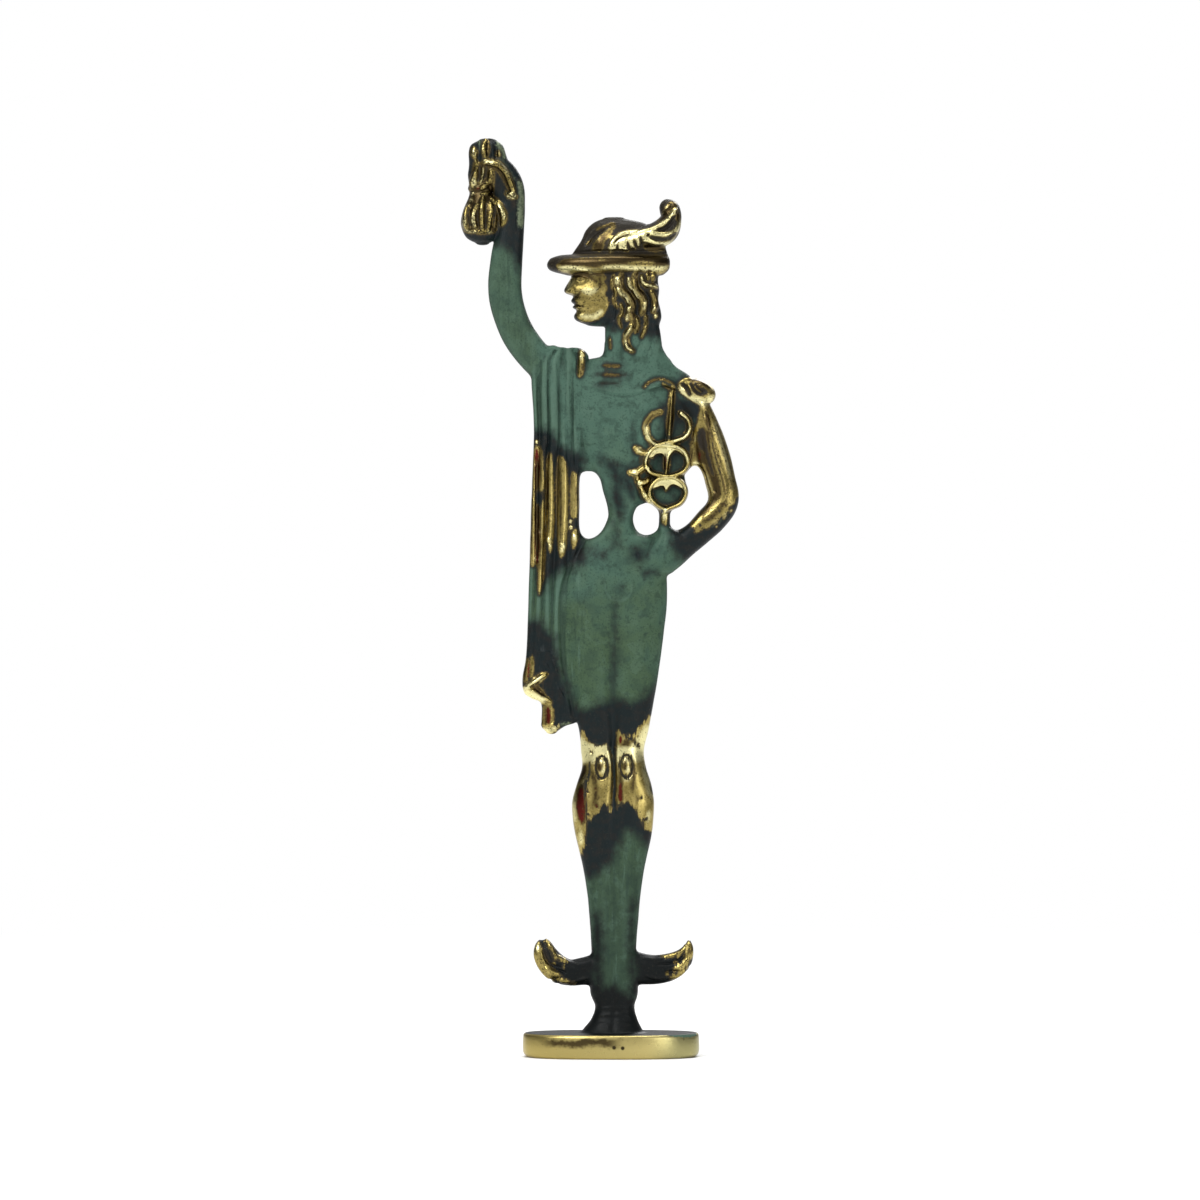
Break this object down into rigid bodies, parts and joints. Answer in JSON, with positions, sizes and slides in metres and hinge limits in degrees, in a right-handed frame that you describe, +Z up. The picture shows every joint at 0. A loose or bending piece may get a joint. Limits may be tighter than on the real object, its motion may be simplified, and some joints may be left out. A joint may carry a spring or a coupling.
{
  "type": "cast mercury figurine",
  "caption": "Flat cast figurine of Mercury with a winged hat, a raised purse, a hanging cloak, a snake staff at the hip and heel wings, in one piece with its oval base",
  "frame": {"origin": "centre of the base's flat underside", "axes": "+Z is up, the figure's front faces -Y, and +X is the viewer's right from the front"},
  "size_m": [0.0558, 0.018, 0.1835],
  "materials": {
    "patinated_bronze": "cast metal with a dark green and black patina, polished to bare gold on the hand, purse, hat, face, hair, staff, arm, knees, cloak folds, wing tips and the rim of the base"
  },
  "bodies": {
    "root": {"mercury_figure": "patinated_bronze"}
  },
  "joints": []
}
